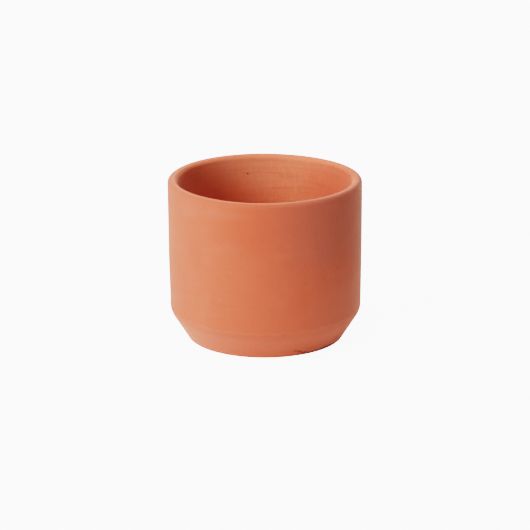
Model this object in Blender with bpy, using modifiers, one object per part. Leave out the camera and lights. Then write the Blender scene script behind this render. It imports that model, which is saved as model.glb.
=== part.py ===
"""Terracotta plant pot: one turned body of fired clay with a drainage hole, on four rubber foot pads.

Units are metres and +Z is up. The origin is on the pot's axis, at the height of the surface that it
stands on. The front is -Y.
"""
import math

import bpy
from mathutils import Vector

# Outside of the pot
RIM_RADIUS = 0.0700           # widest radius, at the lip
HEIGHT = 0.1183               # from the standing surface to the top of the lip
SHOULDER_RADIUS = 0.0691      # where the almost upright wall meets the chamfer above the base
SHOULDER_HEIGHT = 0.0215
SHOULDER_ROUNDING = 0.0120
BASE_RADIUS = 0.0558
BASE_ROUNDING = 0.0020

# Lip: a level top with both edges rounded over
LIP_THICKNESS = 0.0074
LIP_OUTER_ROUNDING = 0.0033
LIP_INNER_ROUNDING = 0.0032

# Inside of the pot
INNER_SHOULDER_RADIUS = 0.0613
INNER_SHOULDER_HEIGHT = 0.0242
INNER_SHOULDER_ROUNDING = 0.0140
FLOOR_RADIUS = 0.0525
FLOOR_HEIGHT = 0.0100         # top of the floor that the soil or the nursery pot stands on
FLOOR_ROUNDING = 0.0060

# Underside: a flat foot ring around a shallow recess, and the drainage hole in the middle
FOOT_RING_WIDTH = 0.0093
RECESS_DEPTH = 0.0016
RECESS_SLOPE = 0.0010         # how far the recess narrows from the foot ring to its ceiling
DRAIN_RADIUS = 0.0070
DRAIN_ROUNDING = 0.0008

# Self-adhesive foot pads, which stand just proud of the foot ring
PAD_RADIUS = 0.0060
PAD_PROUD = 0.0005
PAD_ROUNDING = 0.0004
PAD_ORBIT = 0.0380            # from the pot's axis to a pad's centre
PAD_ANGLES = {"front_right": -45, "back_right": 45, "back_left": 135, "front_left": -135}
GLUE_GAP = 0.0003             # the layer of adhesive between a pad and the clay

AROUND = 96                   # flat facets around the turned body
ARC_TOLERANCE = 0.00005       # how far a straight piece of the outline may cut across a true arc


def material(name, colour, roughness):
    """Return a new plain Principled material."""
    made = bpy.data.materials.new(name)
    made.use_nodes = True
    made.diffuse_color = (*colour, 1.0)
    shader = made.node_tree.nodes["Principled BSDF"]
    shader.inputs["Base Color"].default_value = (*colour, 1.0)
    shader.inputs["Roughness"].default_value = roughness
    shader.inputs["Metallic"].default_value = 0.0
    return made


def rounded_corner(before, corner, after, rounding):
    """Return points along the arc that rounds off the corner between two straight stretches."""
    to_before = (before - corner).normalized()
    to_after = (after - corner).normalized()
    half_angle = to_before.angle(to_after) / 2
    centre = corner + (to_before + to_after).normalized() * (rounding / math.sin(half_angle))
    straight = rounding / math.tan(half_angle)
    start = (corner + to_before * straight - centre).normalized()
    end = (corner + to_after * straight - centre).normalized()
    longest_turn = 2 * math.acos(1 - ARC_TOLERANCE / rounding)
    pieces = math.ceil((math.pi - 2 * half_angle) / longest_turn)
    return [centre + rounding * start.slerp(end, i / pieces) for i in range(pieces + 1)]


def pot_outline():
    """Return the closed section of the wall and floor as (radius, height) points.

    It runs down the outside, in under the base, up through the drainage hole, out across the floor
    and up the inside to the lip.
    """
    base = PAD_PROUD
    recess_edge = BASE_RADIUS - FOOT_RING_WIDTH
    ceiling = base + RECESS_DEPTH
    corners = (
        (RIM_RADIUS, HEIGHT, LIP_OUTER_ROUNDING),
        (SHOULDER_RADIUS, SHOULDER_HEIGHT, SHOULDER_ROUNDING),
        (BASE_RADIUS, base, BASE_ROUNDING),
        (recess_edge, base, RECESS_DEPTH / 4),
        (recess_edge - RECESS_SLOPE, ceiling, RECESS_DEPTH / 4),
        (DRAIN_RADIUS, ceiling, DRAIN_ROUNDING),
        (DRAIN_RADIUS, FLOOR_HEIGHT, DRAIN_ROUNDING),
        (FLOOR_RADIUS, FLOOR_HEIGHT, FLOOR_ROUNDING),
        (INNER_SHOULDER_RADIUS, INNER_SHOULDER_HEIGHT, INNER_SHOULDER_ROUNDING),
        (RIM_RADIUS - LIP_THICKNESS, HEIGHT, LIP_INNER_ROUNDING),
    )
    outline = []
    for i, (radius, height, rounding) in enumerate(corners):
        before = Vector(corners[i - 1][:2])
        after = Vector(corners[(i + 1) % len(corners)][:2])
        outline += rounded_corner(before, Vector((radius, height)), after, rounding)
    return outline


def make_pot_body(clay, parts):
    """Turn the section of the clay body around the axis."""
    outline = pot_outline()
    vertices = [(point.x, 0.0, point.y) for point in outline]
    edges = [(i, (i + 1) % len(outline)) for i in range(len(outline))]
    mesh = bpy.data.meshes.new("pot_body")
    mesh.from_pydata(vertices, edges, [])
    mesh.materials.append(clay)
    body = bpy.data.objects.new("pot_body", mesh)
    parts.objects.link(body)
    turned = body.modifiers.new("Turned", "SCREW")
    turned.steps = AROUND
    turned.render_steps = AROUND
    turned.use_merge_vertices = True
    turned.merge_threshold = 0.00001
    turned.use_smooth_shade = True
    return body


def make_foot_pad(name, degrees, rubber, parts):
    """Make one round pad, stuck into the recess under the base."""
    thickness = PAD_PROUD + RECESS_DEPTH - GLUE_GAP
    angle = math.radians(degrees)
    bpy.ops.mesh.primitive_cylinder_add(
        vertices=24,
        radius=PAD_RADIUS,
        depth=thickness,
        location=(PAD_ORBIT * math.cos(angle), PAD_ORBIT * math.sin(angle), thickness / 2),
    )
    pad = bpy.context.object
    pad.name = name
    pad.data.name = name
    pad.data.materials.append(rubber)
    rounding = pad.modifiers.new("Rounded edges", "BEVEL")
    rounding.width = PAD_ROUNDING
    rounding.segments = 3
    rounding.limit_method = "ANGLE"
    pad.data.shade_smooth()
    pad.data.set_sharp_from_angle(angle=math.radians(50))
    for collection in list(pad.users_collection):
        collection.objects.unlink(pad)
    parts.objects.link(pad)
    return pad


def main():
    for old in list(bpy.data.objects):
        bpy.data.objects.remove(old, do_unlink=True)
    parts = bpy.data.collections.new("terracotta_pot")
    bpy.context.scene.collection.children.link(parts)

    clay = material("terracotta", (0.60, 0.185, 0.085), 0.75)
    rubber = material("rubber", (0.030, 0.030, 0.032), 0.60)

    make_pot_body(clay, parts)
    for place, degrees in PAD_ANGLES.items():
        make_foot_pad("foot_pad_" + place, degrees, rubber, parts)


main()
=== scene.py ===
"""Looks of a terracotta plant pot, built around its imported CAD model.

Units are metres and +Z is up, in the CAD model's own frame: the pot's axis is Z and its front is -Y.
Angles round the pot are degrees from +X, counterclockwise from above.
"""
import math

import bpy
import numpy as np
from mathutils import Matrix, Vector


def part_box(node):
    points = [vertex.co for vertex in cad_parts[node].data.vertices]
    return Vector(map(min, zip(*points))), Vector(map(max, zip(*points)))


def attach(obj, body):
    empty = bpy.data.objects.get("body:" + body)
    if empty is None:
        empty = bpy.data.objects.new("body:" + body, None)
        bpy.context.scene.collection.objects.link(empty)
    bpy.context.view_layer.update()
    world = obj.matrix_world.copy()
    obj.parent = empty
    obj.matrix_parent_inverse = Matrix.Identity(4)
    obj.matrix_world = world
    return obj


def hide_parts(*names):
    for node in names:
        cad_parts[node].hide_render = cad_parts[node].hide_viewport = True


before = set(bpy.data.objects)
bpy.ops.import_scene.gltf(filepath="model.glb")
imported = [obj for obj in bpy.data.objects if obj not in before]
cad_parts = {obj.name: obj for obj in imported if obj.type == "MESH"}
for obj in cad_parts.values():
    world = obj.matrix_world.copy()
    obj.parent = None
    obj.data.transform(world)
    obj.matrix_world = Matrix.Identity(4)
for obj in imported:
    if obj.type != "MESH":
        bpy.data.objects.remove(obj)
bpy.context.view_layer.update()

# Sizes read from the frame
BODY_LOW, BODY_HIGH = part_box("pot_body")
BASE = BODY_LOW.z
TOP = BODY_HIGH.z
RIM_RADIUS = BODY_HIGH.x
PADS = [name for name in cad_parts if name.startswith("foot_pad")]

# Section of the clay: the same corners as the CAD model, as (radius, height, rounding)
LIP_THICKNESS = 0.0074
LIP_OUTER = (RIM_RADIUS, TOP, 0.0033)
LIP_INNER = (RIM_RADIUS - LIP_THICKNESS, TOP, 0.0032)
SHOULDER = (0.0691, BASE + 0.0210, 0.0120)
BASE_EDGE = (0.0558, BASE, 0.0020)
RECESS_OUTER = (0.0465, BASE, 0.0004)
RECESS_INNER = (0.0455, BASE + 0.0016, 0.0004)
DRAIN_RADIUS = 0.0070
DRAIN_ROUNDING = 0.0008
FLOOR_HEIGHT = 0.0100
FLOOR_CORNER = (0.0525, FLOOR_HEIGHT, 0.0060)
INNER_SHOULDER = (0.0613, 0.0242, 0.0140)
AROUND = 240                        # points round the pot
AROUND_PAD = 48                     # and round a foot pad

# How far the hand-finished clay strays from a true turned shape
RIM_DIP = 0.00027                   # the rim is highest at the back left and dips at the quarters beside it
RIM_HIGH_ANGLE = math.radians(135)
FRONT_DIP = 0.00072                 # and a third dip is at the front, a little to the right
FRONT_DIP_ANGLE = math.radians(-65)
RIM_DIP_DEPTH = 0.0400              # how far down from the rim the dips fade out
WALL_BELLY = 0.00015                # the wall swells at mid-height
RIM_PULL = 0.00020                  # the rim is drawn in at the right
RIM_PULL_START = 0.5                # from this share of the wall's height up
SHOULDER_PULL = 0.00020             # and the wall is drawn in above the shoulder at the left
SHOULDER_PULL_HEIGHT = 0.0300
SHOULDER_PULL_REACH = 0.0110

# Waves in the clay's surface: seed, orders round the pot, lengths along the wall, and rms height
OUTSIDE_WAVES = (
    (1, (1, 5), (0.040, 0.120), 0.00004),
    (2, (0, 1), (0.0025, 0.0080), 0.000004),
)
INSIDE_WAVES = (
    (3, (1, 4), (0.030, 0.090), 0.00006),
    (4, (0, 1), (0.0035, 0.0095), 0.000012),
    (5, (0, 6), (0.0014, 0.0030), 0.000004),
)
LIP_WAVES = (
    (6, (2, 7), (0.020, 0.060), 0.00004),
)

# How softly one side of the clay turns into the next: rows of points to each side of the change
WAVE_FADE = 6
INSIDE_WAVE_FADE = 8
COLOUR_FADE = 5

# Wear at the top of the wall. The lip's own colour is partly wear and partly a painted highlight from the
# light above
LIP_WEAR_START = 0.0030             # the lip's own colour fades in from this far below the top
LIP_WEAR_FULL = 0.0010              # and is complete this far below it
LIP_WEAR_AND_HIGHLIGHT = 0.8                      # with this strength
RIM_RUB = 0.35                      # handling pales the top of the inside, this much and this far down
RIM_RUB_DEPTH = 0.0120

# Fired clay, deeper and redder outside, and paler inside and on the lip. The paler inside is partly the
# clay's own colour and partly painted light, brighter than the lamps leave it; the lip's brightness is partly
# a painted highlight
CLAY = (0.552, 0.124, 0.070, 1)
CLAY_PALE = (0.649, 0.190, 0.122, 1)
CLAY_DEEP = (0.464, 0.097, 0.053, 1)
CLAY_INSIDE = (0.715, 0.214, 0.124, 1)
CLAY_INSIDE_PALE = (0.755, 0.266, 0.172, 1)
CLAY_INSIDE_DEEP = (0.480, 0.135, 0.080, 1)
CLAY_LIP = (0.840, 0.185, 0.105, 1)

# Colours of the marks on it
PAINTED_SHADE_LIP = (0.820, 0.115, 0.050, 1)    # painted shade: deeper, redder clay on and under the lip, toning down the pale sheen the lights raise there
CLAY_BLOOM = (0.590, 0.230, 0.180, 1)    # faint pale bloom
CLAY_FLUSH = (0.545, 0.102, 0.056, 1)    # redder clouds
PAINTED_HAZE_INSIDE = (0.620, 0.265, 0.168, 1)    # painted haze: a greyer, paler cloud on the shaded left of the inside, standing in for pale reflected light
CLAY_RUBBED = (0.860, 0.300, 0.195, 1)   # paled by handling
PAINTED_SHADE_CLAY = (0.450, 0.124, 0.082, 1)     # painted shade: browner, darker clouds high on the right side, where the pot lies in shade
PAINTED_HAZE_CLAY = (0.560, 0.165, 0.108, 1)    # painted haze: a paler cloud across the shoulder on the shaded right, standing in for pale reflected light
SCORCH = (0.200, 0.046, 0.030, 1)        # small burnt spots
PAINTED_FOOT_SHADE = (0.080, 0.030, 0.022, 1)          # painted shade along the base edge at the right, where the pot's own shadow falls

# Fine dust on the clay, seen as a soft sheen, and the clay's weak gloss
DUST_SHEEN = 0.25
DUST_ROUGHNESS = 0.6
DUST_TINT = (1.0, 1.0, 0.84, 1)
CLAY_SPECULAR = 0.03

# Noise in the clay: feature size, detail and, where it isn't the usual, roughness
CLOUDS = (0.030, 4.0)
STREAKS = (0.045, 6.0, 0.6)
FINE_STREAKS = (0.014, 3.0)
GRAIN = (0.0007, 3.0, 0.7)
SPECKLE = (0.0030, 3.0, 0.6)
SCUFFS = (0.0022, 3.0, 0.6)
STREAK_SCALE = (1, 1, 18)           # finer up the wall than round it, so that streaks lie flat
FINE_STREAK_SCALE = (1, 1, 30)
SCUFF_SCALE = (1, 1, 0.4)           # and the other way about, so that scuffs stand up

# Raggedness of the outlines of large marks, small marks, and scorch marks with the painted shade at the foot:
# feature size and reach
BROAD_WANDER = (0.0200, 0.0150)
NARROW_WANDER = (0.0060, 0.0040)
SCORCH_AND_SHADE_WANDER = (0.0015, 0.0008)

# How noise turns into an amount of tint, or into roughness: noise from and to, then result from and to
CLOUD_TINT = (0.50, 0.85, 0.0, 0.24)
STREAK_TINT = (0.50, 0.15, 0.0, 0.25)
INSIDE_PALE_TINT = (0.50, 0.75, 0.0, 0.35)
INSIDE_DEEP_TINT = (0.50, 0.28, 0.0, 0.55)
SCUFF_TINT = (0.50, 0.66, 0.0, 0.42)
SPECKLE_TINT = (0.60, 0.80, 0.0, 0.25)
GRAIN_TINT = (0.55, 0.25, 0.0, 0.30)
CLAY_ROUGHNESS = (0.30, 0.70, 0.72, 0.88)

# Specks: spacing, share of the places that hold one, and largest radius. Then how strongly they show
PITS = (0.0060, 0.35, 0.0007)
CHALK = (0.0050, 0.30, 0.0006)
PIT_TINT = 0.55
CHALK_TINT = 0.30
CHALK_OFFSET = (0.3, 0.2, 0.1)      # puts the chalk elsewhere than the pits

# Depths of the clay's fine relief
GRAIN_DEPTH = 0.00005
SPECKLE_DEPTH = 0.00010
STREAK_DEPTH = 0.00018
OUTSIDE_STREAK_SHARE = 0.35         # of the inside's streak relief
PIT_DEPTH = 0.00020

# Rubber of the foot pads
RUBBER_DARK = (0.022, 0.022, 0.024, 1)
RUBBER_WORN = (0.042, 0.041, 0.041, 1)
RUBBER_GRAIN = (0.0004, 3.0, 0.6)
RUBBER_SMEARS = (0.0040, 4.0, 0.6)
RUBBER_WEAR = (0.3, 0.7, 0.0, 1.0)
RUBBER_DUST = (0.55, 0.80, 0.0, 0.30)
RUBBER_ROUGHNESS = (0.3, 0.7, 0.55, 0.80)
RUBBER_GRAIN_DEPTH = 0.00004
RUBBER_SMEAR_DEPTH = 0.00006

# Shape of a foot pad
PAD_CROWN = 0.0006                  # rounding of the lower edge
PAD_EDGE = 0.0003                   # and of the upper edge
PAD_DISH = 0.0002                   # depth of the dished underside
PAD_DISH_SHARE = 0.45               # of the radius is flat in the dish
PAD_DISH_ROUNDING = 0.0020
PAD_CORE = 0.0004                   # the section stops this far from the pad's axis
PAD_CORE_ROUNDING = 0.0001

# Marks from the kiln and from handling, and painted shade and haze: colour, angle, radius, height, width,
# tallness and strength.
# Each fades from a core to an edge, which are these shares of its width out from its middle
MARK_CORE = 0.1
MARK_EDGE = 0.5
CLOUDS_AND_PAINTED_LIGHT_OUTSIDE = (
    (CLAY_FLUSH, -95, 0.0696, 0.0980, 0.0800, 0.0600, 0.50),
    # the next two are painted shade high on the right side, where the pot lies in shade
    (PAINTED_SHADE_CLAY, -48, 0.0696, 0.1000, 0.1300, 0.1100, 0.85),
    (PAINTED_SHADE_CLAY, -5, 0.0696, 0.0900, 0.1000, 0.1000, 0.50),
    # painted haze across the shoulder on the shaded right
    (PAINTED_HAZE_CLAY, -28, 0.0650, 0.0300, 0.1200, 0.0700, 0.55),
)
CLOUDS_AND_PAINTED_HAZE_INSIDE = (
    (CLAY_FLUSH, 28, 0.0625, 0.0980, 0.1050, 0.0900, 0.72),
    # painted haze on the shaded left of the inside
    (PAINTED_HAZE_INSIDE, 142, 0.0625, 0.1000, 0.1550, 0.0850, 0.80),
)
BLOOMS_OUTSIDE = (
    (CLAY_BLOOM, -141, 0.0696, 0.1060, 0.0300, 0.0150, 0.10),
    (CLAY_BLOOM, -118, 0.0696, 0.1080, 0.0600, 0.0100, 0.07),
    (CLAY_BLOOM, -112, 0.0695, 0.0840, 0.0340, 0.0110, 0.05),
    (CLAY_BLOOM, -80, 0.0694, 0.0800, 0.0340, 0.0080, 0.05),
    (CLAY_BLOOM, -40, 0.0693, 0.0600, 0.0300, 0.0080, 0.05),
    (CLAY_BLOOM, 150, 0.0695, 0.0700, 0.0360, 0.0120, 0.10),
    (CLAY_BLOOM, 20, 0.0694, 0.0500, 0.0320, 0.0100, 0.10),
)
BLOOM_AND_PAINTED_SHADE_INSIDE = (                   # the second is painted shade, redder clay that tones down the sheen just under the lip
    (CLAY_BLOOM, 65, 0.0620, 0.1010, 0.0300, 0.0070, 0.08),
    (PAINTED_SHADE_LIP, 14, 0.0630, 0.1140, 0.0500, 0.0160, 0.40),
)
LIP_PAINTED_SHADE = (                     # painted shade that tones down the sheen at the front and right of the lip, laid on the lip's own colour only
    (PAINTED_SHADE_LIP, -50, 0.0655, 0.1175, 0.1000, 0.0500, 0.80),
    (PAINTED_SHADE_LIP, 10, 0.0655, 0.1170, 0.0600, 0.0400, 0.60),
)
SCORCH_AND_FOOT_SHADE_MARKS = (
    (SCORCH, -68.9, 0.0583, 0.0060, 0.0050, 0.0034, 0.70),
    (SCORCH, -65.5, 0.0578, 0.0046, 0.0065, 0.0030, 0.80),
    (SCORCH, -61.5, 0.0572, 0.0030, 0.0075, 0.0032, 0.80),
    (SCORCH, 101.8, 0.0620, 0.1039, 0.0030, 0.0024, 0.90),
    (SCORCH, 37.0, 0.0625, 0.1159, 0.0026, 0.0022, 0.60),
    (SCORCH, 12.7, 0.0625, 0.1151, 0.0028, 0.0024, 0.60),
    # the last two are painted shade along the base edge at the right, where the pot's own shadow falls
    (PAINTED_FOOT_SHADE, -52.0, 0.0562, 0.0006, 0.0440, 0.0056, 0.75),
    (PAINTED_FOOT_SHADE, -38.0, 0.0568, 0.0012, 0.0340, 0.0080, 0.80),
)

# Bands round the outside, a painted highlight along the shoulder and painted shade below it: height, reach
# above and below it, and strength
SHOULDER_HIGHLIGHT_LINE = (0.0226, 0.0018, 0.16)
BEVEL_SHADE_BAND = (0.0188, 0.0046, 0.38)

# Camera: a long lens, a little above the pot
CAMERA_PITCH = math.radians(17.26)
CAMERA_ROLL = math.radians(-0.25)
CAMERA_DISTANCE = 1.945
CAMERA_LENS = 183.16                # in millimetres, as is the sensor's width
SENSOR = 36.0
CAMERA_CLIP = (0.1, 50.0)
AIM_OFFSET = (-0.0002, -0.0068)     # from the pot's middle to the centre of the view, right and up

# Soft studio lights, round discs that face the pot: azimuth from the camera's side (right is positive),
# elevation, power in watts and diameter
LIGHT_DISTANCE = 1.60
LIGHT_AIM = Vector((0.0, 0.0, 0.06))
LIGHTS = {
    "key": (-40, 20, 16.8, 0.80),
    "key_side": (-65, 36, 10.8, 0.80),
    "high_right": (60, 60, 2.8, 0.80),
    "right_side": (95, 12, 1.6, 0.80),
    "high_back": (180, 45, 4.5, 0.80),
    "overhead": (0, 86, 9.0, 0.80),
    "right_rim": (150, 6, 9.0, 0.70),
    "left_rim": (-90, 8, 3.6, 0.70),
}
TABLE_GLOW = 0.248                  # a pool of light on the table, which lights the pot from below
TABLE_GLOW_RADIUS = 0.12            # it is down to about a third this far out
BACKDROP_GLOW = 3.0                 # seen by the camera only, so that it doesn't flatten the light
SHADED_TABLE = 0.0450               # under the pot it fades out, from this radius to half of it
FLOOR_HALF = 8.0                    # the table reaches this far each way
FLOOR_WHITE = (0.9, 0.9, 0.9, 1)
FLOOR_ROUGHNESS = 0.9


def place_camera():
    """A long lens, aimed a little below the pot's middle."""
    forward = Vector((0.0, math.cos(CAMERA_PITCH), -math.sin(CAMERA_PITCH)))
    right = Vector((1.0, 0.0, 0.0))
    up = right.cross(forward)
    middle = Vector((0.0, 0.0, (BASE + TOP) / 2))
    aim = middle + right * AIM_OFFSET[0] + up * AIM_OFFSET[1]
    rolled_right = right * math.cos(CAMERA_ROLL) + up * math.sin(CAMERA_ROLL)
    rolled_up = up * math.cos(CAMERA_ROLL) - right * math.sin(CAMERA_ROLL)
    data = bpy.data.cameras.new("camera")
    data.lens = CAMERA_LENS
    data.sensor_width = SENSOR
    data.clip_start, data.clip_end = CAMERA_CLIP
    camera = bpy.data.objects.new("camera", data)
    bpy.context.scene.collection.objects.link(camera)
    turn = Matrix((rolled_right, rolled_up, -forward)).transposed()
    camera.matrix_world = Matrix.Translation(aim - forward * CAMERA_DISTANCE) @ turn.to_4x4()
    bpy.context.scene.camera = camera


def rounded_corner(before, corner, after, rounding, spacing):
    """Points along the arc that rounds off the corner between two straight stretches."""
    to_before = (before - corner).normalized()
    to_after = (after - corner).normalized()
    half_angle = to_before.angle(to_after) / 2
    centre = corner + (to_before + to_after).normalized() * (rounding / math.sin(half_angle))
    straight = rounding / math.tan(half_angle)
    start = (corner + to_before * straight - centre).normalized()
    end = (corner + to_after * straight - centre).normalized()
    pieces = max(3, math.ceil((math.pi - 2 * half_angle) * rounding / spacing))
    return [centre + rounding * start.slerp(end, i / pieces) for i in range(pieces + 1)]


def rounded_section(corners):
    """Points round a closed section, and the side that each belongs to.

    A corner is given as (radius, height, rounding), its point spacing, then the spacing and side of the
    straight stretch that follows it.
    """
    arcs = []
    for i, ((radius, height, rounding), spacing, _, _) in enumerate(corners):
        before = Vector(corners[i - 1][0][:2])
        after = Vector(corners[(i + 1) % len(corners)][0][:2])
        arcs.append(rounded_corner(before, Vector((radius, height)), after, rounding, spacing))
    points = []
    sides = []
    for i, arc in enumerate(arcs):
        start, end = arc[-1], arcs[(i + 1) % len(arcs)][0]
        pieces = max(1, math.ceil((end - start).length / corners[i][2]))
        stretch = arc + [start.lerp(end, j / pieces) for j in range(1, pieces)]
        points += stretch
        sides += [corners[i][3]] * len(stretch)
    return np.array([tuple(point) for point in points]), np.array(sides)


def clay_section():
    """The clay's section, from the lip down the outside, under the base, and up the inside."""
    return rounded_section((
        (LIP_OUTER, 0.0004, 0.0009, "outside"),
        (SHOULDER, 0.0007, 0.0009, "outside"),
        (BASE_EDGE, 0.0004, 0.0020, "under"),
        (RECESS_OUTER, 0.0002, 0.0010, "under"),
        (RECESS_INNER, 0.0002, 0.0025, "under"),
        ((DRAIN_RADIUS, RECESS_INNER[1], DRAIN_ROUNDING), 0.0003, 0.0015, "under"),
        ((DRAIN_RADIUS, FLOOR_HEIGHT, DRAIN_ROUNDING), 0.0003, 0.0020, "inside"),
        (FLOOR_CORNER, 0.0010, 0.0009, "inside"),
        (INNER_SHOULDER, 0.0008, 0.0006, "inside"),
        (LIP_INNER, 0.0004, 0.0005, "lip"),
    ))


def turned_faces(count, around):
    """The quads of a closed section of count points, turned full circle."""
    row, column = np.meshgrid(np.arange(count), np.arange(around), indexing="ij")
    next_row, next_column = (row + 1) % count, (column + 1) % around
    corners = ((row, column), (next_row, column), (next_row, next_column), (row, next_column))
    return np.stack([r * around + c for r, c in corners], axis=-1).reshape(-1, 4)


def turned_mesh(name, radius, height, angles):
    """A mesh from the radius and height of each point of a section, at each angle."""
    vertices = np.stack([radius * np.cos(angles), radius * np.sin(angles), height], axis=-1)
    mesh = bpy.data.meshes.new(name)
    mesh.from_pydata(vertices.reshape(-1, 3).tolist(), [], turned_faces(*radius.shape).tolist())
    mesh.shade_smooth()
    return mesh


def smooth_step(value, low, high):
    share = np.clip((value - low) / (high - low), 0, 1)
    return share * share * (3 - 2 * share)


def blurred(rows, reach):
    """A value per row, averaged with its neighbours within reach rows, round the closed section."""
    shifted = [np.roll(rows, step) for step in range(-reach, reach + 1)]
    return np.mean(shifted, axis=0)


def waves(along, angles, seed, orders, lengths, size, count=24):
    """Random waves round the pot and along its wall, whose root mean square height is size."""
    random = np.random.default_rng(seed)
    total = np.zeros((len(along), len(angles)))
    for _ in range(count):
        order = random.integers(orders[0], orders[1] + 1) * random.choice((-1, 1))
        length = random.uniform(*lengths)
        phase = random.uniform(0, 2 * math.pi)
        total += np.cos(2 * math.pi * along[:, None] / length + order * angles + phase)
    return size * total / math.sqrt(count / 2)


def clay_relief(section, sides, angles):
    """How far the clay's surface stands out of its true section, along the section's normal."""
    steps = np.linalg.norm(np.diff(section, axis=0), axis=1)
    along = np.concatenate([[0], np.cumsum(steps)])
    outside = blurred((sides == "outside").astype(float), WAVE_FADE)[:, None]
    inside = blurred((sides == "inside").astype(float), INSIDE_WAVE_FADE)[:, None]
    lip = blurred((sides == "lip").astype(float), WAVE_FADE)[:, None]
    smooth = sum(waves(along, angles, *one) for one in OUTSIDE_WAVES)
    thrown = sum(waves(along, angles, *one) for one in INSIDE_WAVES)
    uneven = sum(waves(along, angles, *one) for one in LIP_WAVES)
    highest = max(smooth.max(), uneven.max())
    return outside * (smooth - highest) + inside * (thrown - highest) + lip * (uneven - highest)


def clay_warp(height, angles):
    """How far the wall is drawn out or in, and how far the rim drops, at each height and angle."""
    up_wall = np.clip((height - SHOULDER[1]) / (TOP - SHOULDER[1]), 0, 1)
    belly = WALL_BELLY * np.sin(math.pi * up_wall)
    right = np.clip(np.cos(angles), 0, 1)
    left = np.clip(-np.cos(angles), 0, 1)
    near_shoulder = np.exp(-((height - SHOULDER_PULL_HEIGHT) / SHOULDER_PULL_REACH) ** 2)
    pull = RIM_PULL * smooth_step(up_wall, RIM_PULL_START, 1.0) * right + SHOULDER_PULL * near_shoulder * left
    dip = RIM_DIP * (1 - np.cos(2 * (angles - RIM_HIGH_ANGLE)))
    dip = dip + FRONT_DIP * np.clip(np.cos(angles - FRONT_DIP_ANGLE), 0, 1) ** 2
    return belly - pull, -dip * smooth_step(height, TOP - RIM_DIP_DEPTH, TOP)


def clay_amounts(section, sides):
    """How much of the inside, the lip and the rubbed rim there is at each point of the section."""
    height = section[:, 1]
    inside = blurred(np.isin(sides, ("inside", "lip")).astype(float), COLOUR_FADE)
    lip = blurred((sides == "lip").astype(float), COLOUR_FADE)
    lip = lip * smooth_step(height, TOP - LIP_WEAR_START, TOP - LIP_WEAR_FULL)
    rim = smooth_step(height, TOP - RIM_RUB_DEPTH, TOP) * inside * RIM_RUB
    return {"inside": inside, "lip": lip, "rim": rim}


def make_pot():
    """The clay body: a dense turned mesh with the slight unevenness of the real thing."""
    section, sides = clay_section()
    angles = np.arange(AROUND) * (2 * math.pi / AROUND)
    tangent = np.roll(section, -1, axis=0) - np.roll(section, 1, axis=0)
    tangent /= np.linalg.norm(tangent, axis=1)[:, None]
    relief = clay_relief(section, sides, angles)
    radius = section[:, :1] - tangent[:, 1:] * relief
    height = section[:, 1:] + tangent[:, :1] * relief
    outward, upward = clay_warp(height, angles)
    radius = np.minimum(radius + outward, RIM_RADIUS)
    mesh = turned_mesh("pot", radius, height + upward, angles)
    for name, amount in clay_amounts(section, sides).items():
        layer = mesh.attributes.new(name, "FLOAT", "POINT")
        layer.data.foreach_set("value", np.repeat(amount, AROUND))
    return mesh


def add(tree, kind, inputs=None, **settings):
    """Add a node, with its settings, and its inputs given as values or as the sockets to link."""
    node = tree.nodes.new(kind)
    for name, value in settings.items():
        setattr(node, name, value)
    for name, value in (inputs or {}).items():
        if isinstance(value, bpy.types.NodeSocket):
            tree.links.new(value, node.inputs[name])
        else:
            node.inputs[name].default_value = value
    return node


def principled(name):
    material = bpy.data.materials.new(name)
    material.use_nodes = True
    return material, material.node_tree, material.node_tree.nodes["Principled BSDF"]


def calculate(tree, operation, *values):
    return add(tree, "ShaderNodeMath", dict(enumerate(values)), operation=operation).outputs[0]


def vector(tree, operation, *values):
    return add(tree, "ShaderNodeVectorMath", dict(enumerate(values)), operation=operation).outputs[0]


def remap(tree, value, low, high, to_low=0.0, to_high=1.0):
    """Turn low..high into to_low..to_high, with soft ends."""
    inputs = {"Value": value, "From Min": low, "From Max": high, "To Min": to_low, "To Max": to_high}
    return add(tree, "ShaderNodeMapRange", inputs, interpolation_type="SMOOTHSTEP").outputs["Result"]


def noise(tree, place, size, detail=3.0, roughness=0.5):
    """Noise whose largest features are about size across."""
    inputs = {"Vector": place, "Scale": 1 / size, "Detail": detail, "Roughness": roughness}
    return add(tree, "ShaderNodeTexNoise", inputs).outputs["Fac"]


def blend(tree, amount, under, over):
    """Lay a colour over another by an amount."""
    node = add(tree, "ShaderNodeMix", {0: amount, 6: under, 7: over}, data_type="RGBA")
    return node.outputs[2]


def wandering(tree, place, size, reach):
    """The place, pushed about by noise, so that what is drawn there has a ragged outline."""
    push = add(tree, "ShaderNodeTexNoise", {"Vector": place, "Scale": 1 / size}).outputs["Color"]
    centred = vector(tree, "SUBTRACT", push, (0.5, 0.5, 0.5))
    return vector(tree, "ADD", place, vector(tree, "MULTIPLY", centred, (reach, reach, reach)))


def specks(tree, place, spacing, share, radius):
    """A share of the cells of a random grid each hold a round speck, of at most this radius."""
    cells = add(tree, "ShaderNodeTexVoronoi", {"Vector": place, "Scale": 1 / spacing})
    chosen = add(tree, "ShaderNodeSeparateColor", {0: cells.outputs["Color"]})
    reach = calculate(tree, "MULTIPLY", chosen.outputs[1], radius / spacing)
    dot = calculate(tree, "SUBTRACT", 1.0, calculate(tree, "DIVIDE", cells.outputs["Distance"], reach))
    keep = calculate(tree, "LESS_THAN", chosen.outputs[0], share)
    return calculate(tree, "MULTIPLY", remap(tree, dot, 0.0, 0.5), keep)


def mark(tree, place, angle, radius, height, width, tall):
    """A soft mark on the wall, at an angle and height, width by tall."""
    turn = math.radians(angle)
    centre = (radius * math.cos(turn), radius * math.sin(turn), height)
    away = vector(tree, "MULTIPLY", vector(tree, "SUBTRACT", place, centre), (1, 1, width / tall))
    distance = add(tree, "ShaderNodeVectorMath", {0: away}, operation="LENGTH").outputs["Value"]
    return remap(tree, distance, width * MARK_EDGE, width * MARK_CORE)


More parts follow.
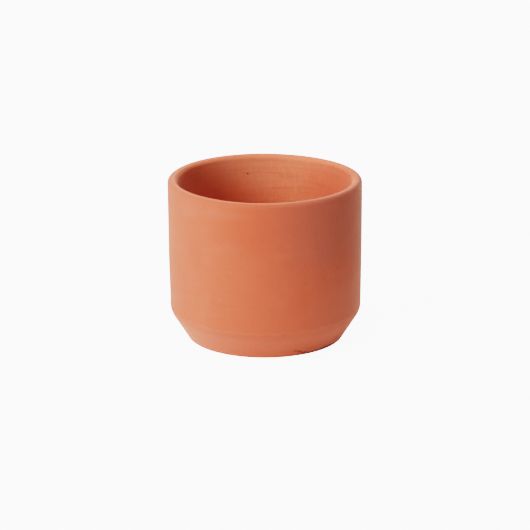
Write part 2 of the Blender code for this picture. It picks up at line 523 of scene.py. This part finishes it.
def ring(tree, place, height, reach, strength):
    """A soft band right round the pot at a height."""
    level = add(tree, "ShaderNodeSeparateXYZ", {0: place}).outputs["Z"]
    distance = calculate(tree, "ABSOLUTE", calculate(tree, "SUBTRACT", level, height))
    return remap(tree, distance, reach, 0.0, 0.0, strength)


def marked(tree, place, colour, marks):
    """Lay marks over a colour, and return the new colour and where the marks are."""
    covered = 0.0
    for ink, *where, strength in marks:
        amount = calculate(tree, "MULTIPLY", mark(tree, place, *where), strength)
        colour = blend(tree, amount, colour, ink)
        covered = calculate(tree, "MAXIMUM", amount, covered)
    return colour, covered


def layered_bump(tree, shader, layers):
    """Stack bumps, each a height from 0 to 1 and its depth in metres, into the shader's normal."""
    normal = None
    for height, depth in layers:
        inputs = {"Height": height, "Distance": depth, "Strength": 1.0}
        if normal is not None:
            inputs["Normal"] = normal
        normal = add(tree, "ShaderNodeBump", inputs).outputs["Normal"]
    tree.links.new(normal, shader.inputs["Normal"])


def attribute(tree, name):
    return add(tree, "ShaderNodeAttribute", attribute_name=name).outputs["Fac"]


def outside_colour(tree, place, streaks, broad, narrow):
    """Clouded clay with faint blooms, painted shade and haze on the right, a pale line round the shoulder
    that is a painted highlight and a deeper band below it that is painted shade.
    """
    pale = remap(tree, noise(tree, place, *CLOUDS), *CLOUD_TINT)
    deep = remap(tree, streaks, *STREAK_TINT)
    colour = blend(tree, deep, blend(tree, pale, CLAY, CLAY_PALE), CLAY_DEEP)
    # clouds, with painted shade and painted haze on the right
    colour, _ = marked(tree, broad, colour, CLOUDS_AND_PAINTED_LIGHT_OUTSIDE)
    colour, _ = marked(tree, narrow, colour, BLOOMS_OUTSIDE)
    colour = blend(tree, ring(tree, narrow, *BEVEL_SHADE_BAND), colour, CLAY_DEEP)
    return blend(tree, ring(tree, narrow, *SHOULDER_HIGHLIGHT_LINE), colour, CLAY_PALE)


def inside_colour(tree, place, streaks, broad, narrow):
    """Streaked and scuffed clay, paled by handling near the top, with painted haze on its shaded left and
    painted shade under the lip at the right.
    """
    scuffs = noise(tree, vector(tree, "MULTIPLY", place, SCUFF_SCALE), *SCUFFS)
    colour = blend(tree, remap(tree, streaks, *INSIDE_PALE_TINT), CLAY_INSIDE, CLAY_INSIDE_PALE)
    colour = blend(tree, remap(tree, streaks, *INSIDE_DEEP_TINT), colour, CLAY_INSIDE_DEEP)
    colour = blend(tree, remap(tree, scuffs, *SCUFF_TINT), colour, CLAY_INSIDE_PALE)
    colour = blend(tree, attribute(tree, "rim"), colour, CLAY_RUBBED)
    colour, _ = marked(tree, broad, colour, CLOUDS_AND_PAINTED_HAZE_INSIDE)
    colour, _ = marked(tree, narrow, colour, BLOOM_AND_PAINTED_SHADE_INSIDE)
    return colour


def flecked(tree, place, colour, grain, speckle):
    """Lay speckle, grain, pits and chalk over a colour, and return the new colour and the pits."""
    pits = specks(tree, place, *PITS)
    chalk = specks(tree, vector(tree, "ADD", place, CHALK_OFFSET), *CHALK)
    colour = blend(tree, remap(tree, speckle, *SPECKLE_TINT), colour, CLAY_PALE)
    colour = blend(tree, remap(tree, grain, *GRAIN_TINT), colour, CLAY_DEEP)
    colour = blend(tree, calculate(tree, "MULTIPLY", pits, PIT_TINT), colour, CLAY_DEEP)
    return blend(tree, calculate(tree, "MULTIPLY", chalk, CHALK_TINT), colour, CLAY_INSIDE_PALE), pits


def terracotta():
    """Unglazed fired clay: smooth and clouded outside, streaked and paler inside, brighter on the lip. The
    paler inside and brighter lip are partly painted light, and painted shade and haze lie in marks on the
    right, inside, on the lip and at the foot.
    """
    material, tree, shader = principled("terracotta")
    place = add(tree, "ShaderNodeTexCoord").outputs["Object"]
    inside = attribute(tree, "inside")
    streaks = noise(tree, vector(tree, "MULTIPLY", place, STREAK_SCALE), *STREAKS)
    fine_streaks = noise(tree, vector(tree, "MULTIPLY", place, FINE_STREAK_SCALE), *FINE_STREAKS)
    grain = noise(tree, place, *GRAIN)
    speckle = noise(tree, place, *SPECKLE)
    broad = wandering(tree, place, *BROAD_WANDER)
    narrow = wandering(tree, place, *NARROW_WANDER)

    outside_clay = outside_colour(tree, place, streaks, broad, narrow)
    inside_clay = inside_colour(tree, place, streaks, broad, narrow)
    lip_clay, _ = marked(tree, broad, CLAY_LIP, LIP_PAINTED_SHADE)
    worn_and_lit = calculate(tree, "MULTIPLY", attribute(tree, "lip"), LIP_WEAR_AND_HIGHLIGHT)
    colour = blend(tree, worn_and_lit, blend(tree, inside, outside_clay, inside_clay), lip_clay)
    colour, pits = flecked(tree, place, colour, grain, speckle)
    # scorch marks, and painted shade along the base edge at the right
    colour, scorch_and_shade = marked(tree, wandering(tree, place, *SCORCH_AND_SHADE_WANDER), colour, SCORCH_AND_FOOT_SHADE_MARKS)

    tree.links.new(colour, shader.inputs["Base Color"])
    tree.links.new(remap(tree, speckle, *CLAY_ROUGHNESS), shader.inputs["Roughness"])
    shader.inputs["Specular IOR Level"].default_value = CLAY_SPECULAR
    shader.inputs["Sheen Weight"].default_value = DUST_SHEEN
    shader.inputs["Sheen Roughness"].default_value = DUST_ROUGHNESS
    shader.inputs["Sheen Tint"].default_value = DUST_TINT
    unbroken = calculate(tree, "SUBTRACT", 1.0, calculate(tree, "MAXIMUM", pits, scorch_and_shade))
    streak_share = remap(tree, inside, 0, 1, OUTSIDE_STREAK_SHARE, 1.0)
    layered_bump(tree, shader, (
        (grain, GRAIN_DEPTH),
        (speckle, SPECKLE_DEPTH),
        (calculate(tree, "MULTIPLY", fine_streaks, streak_share), STREAK_DEPTH),
        (unbroken, PIT_DEPTH),
    ))
    return material


def rubber():
    """Dull black moulded rubber, with a fine grain and a little clay dust."""
    material, tree, shader = principled("rubber")
    place = add(tree, "ShaderNodeTexCoord").outputs["Object"]
    grain = noise(tree, place, *RUBBER_GRAIN)
    smears = noise(tree, place, *RUBBER_SMEARS)
    colour = blend(tree, remap(tree, grain, *RUBBER_WEAR), RUBBER_DARK, RUBBER_WORN)
    colour = blend(tree, remap(tree, smears, *RUBBER_DUST), colour, CLAY_PALE)
    tree.links.new(colour, shader.inputs["Base Color"])
    tree.links.new(remap(tree, smears, *RUBBER_ROUGHNESS), shader.inputs["Roughness"])
    layered_bump(tree, shader, ((grain, RUBBER_GRAIN_DEPTH), (smears, RUBBER_SMEAR_DEPTH)))
    return material


def make_pad(node):
    """A stick-on rubber foot: a low button with a rounded, slightly dished underside."""
    low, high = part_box(node)
    centre = (low + high) / 2
    radius = (high.x - low.x) / 2
    height = high.z - low.z
    corners = (
        ((radius, height, PAD_EDGE), 0.0001, 0.0005, "pad"),
        ((radius - PAD_DISH, 0.0, PAD_CROWN), 0.0001, 0.0006, "pad"),
        ((radius * PAD_DISH_SHARE, PAD_DISH, PAD_DISH_ROUNDING), 0.0002, 0.0006, "pad"),
        ((PAD_CORE, PAD_DISH, PAD_CORE_ROUNDING), 0.0001, 0.0006, "pad"),
        ((PAD_CORE, height, PAD_CORE_ROUNDING), 0.0001, 0.0006, "pad"),
    )
    section, _ = rounded_section(corners)
    angles = np.arange(AROUND_PAD) * (2 * math.pi / AROUND_PAD)
    shape = (len(section), AROUND_PAD)
    radii = np.broadcast_to(section[:, :1], shape)
    heights = np.broadcast_to(section[:, 1:], shape)
    mesh = turned_mesh("rubber_" + node, radii, heights, angles)
    mesh.transform(Matrix.Translation((centre.x, centre.y, low.z)))
    return mesh


def add_piece(name, mesh, node, material):
    """A visible piece that rides on the pot and stands for a CAD node."""
    piece = bpy.data.objects.new(name, mesh)
    bpy.context.scene.collection.objects.link(piece)
    mesh.materials.append(material)
    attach(piece, "root")
    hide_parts(node)


def make_floor():
    """A wide white table. The camera sees it glow like an overexposed backdrop, but the only glow that
    lights the pot is a weak pool round its foot.
    """
    mesh = bpy.data.meshes.new("floor")
    corners = [(-1, -1), (1, -1), (1, 1), (-1, 1)]
    vertices = [(x * FLOOR_HALF, y * FLOOR_HALF, 0) for x, y in corners]
    mesh.from_pydata(vertices, [], [(0, 1, 2, 3)])
    floor = bpy.data.objects.new("floor", mesh)
    bpy.context.scene.collection.objects.link(floor)
    material, tree, shader = principled("floor")
    shader.inputs["Base Color"].default_value = FLOOR_WHITE
    shader.inputs["Roughness"].default_value = FLOOR_ROUGHNESS
    shader.inputs["Emission Color"].default_value = (1, 1, 1, 1)
    place = add(tree, "ShaderNodeTexCoord").outputs["Object"]
    distance = add(tree, "ShaderNodeVectorMath", {0: place}, operation="LENGTH").outputs["Value"]
    reach = calculate(tree, "DIVIDE", distance, TABLE_GLOW_RADIUS)
    fading = calculate(tree, "MULTIPLY", calculate(tree, "MULTIPLY", reach, reach), -1.0)
    glow = calculate(tree, "MULTIPLY", calculate(tree, "EXPONENT", fading), TABLE_GLOW)
    seen_glow = remap(tree, distance, SHADED_TABLE / 2, SHADED_TABLE, 0.0, BACKDROP_GLOW)
    tree.links.new(camera_glow(tree, glow, seen_glow), shader.inputs["Emission Strength"])
    mesh.materials.append(material)


def camera_glow(tree, glow=0.0, seen_glow=BACKDROP_GLOW):
    """One glow for the camera to see, and another for the light that falls on the pot."""
    seen = add(tree, "ShaderNodeLightPath").outputs["Is Camera Ray"]
    inputs = {0: seen, 2: glow, 3: seen_glow}
    return add(tree, "ShaderNodeMix", inputs, data_type="FLOAT").outputs[0]


def make_world():
    world = bpy.data.worlds.new("studio")
    world.use_nodes = True
    tree = world.node_tree
    background = tree.nodes["Background"]
    background.inputs["Color"].default_value = (1, 1, 1, 1)
    tree.links.new(camera_glow(tree), background.inputs["Strength"])
    bpy.context.scene.world = world


def add_light(name, azimuth, elevation, power, size):
    """A round soft light that faces the pot and isn't seen itself."""
    turn, rise = math.radians(azimuth), math.radians(elevation)
    towards = Vector((math.sin(turn) * math.cos(rise), -math.cos(turn) * math.cos(rise), math.sin(rise)))
    data = bpy.data.lights.new(name, "AREA")
    data.shape = "DISK"
    data.size = size
    data.energy = power
    light = bpy.data.objects.new(name, data)
    bpy.context.scene.collection.objects.link(light)
    light.location = LIGHT_AIM + towards * LIGHT_DISTANCE
    light.rotation_mode = "QUATERNION"
    light.rotation_quaternion = (-towards).to_track_quat("-Z", "Y")
    light.visible_camera = False


bpy.context.scene.view_settings.view_transform = "Filmic"
bpy.context.scene.view_settings.look = "Very High Contrast"
place_camera()
make_floor()
make_world()
for light_name, light_values in LIGHTS.items():
    add_light(light_name, *light_values)
add_piece("pot", make_pot(), "pot_body", terracotta())
rubber_material = rubber()
for pad_node in PADS:
    add_piece("rubber_" + pad_node, make_pad(pad_node), pad_node, rubber_material)
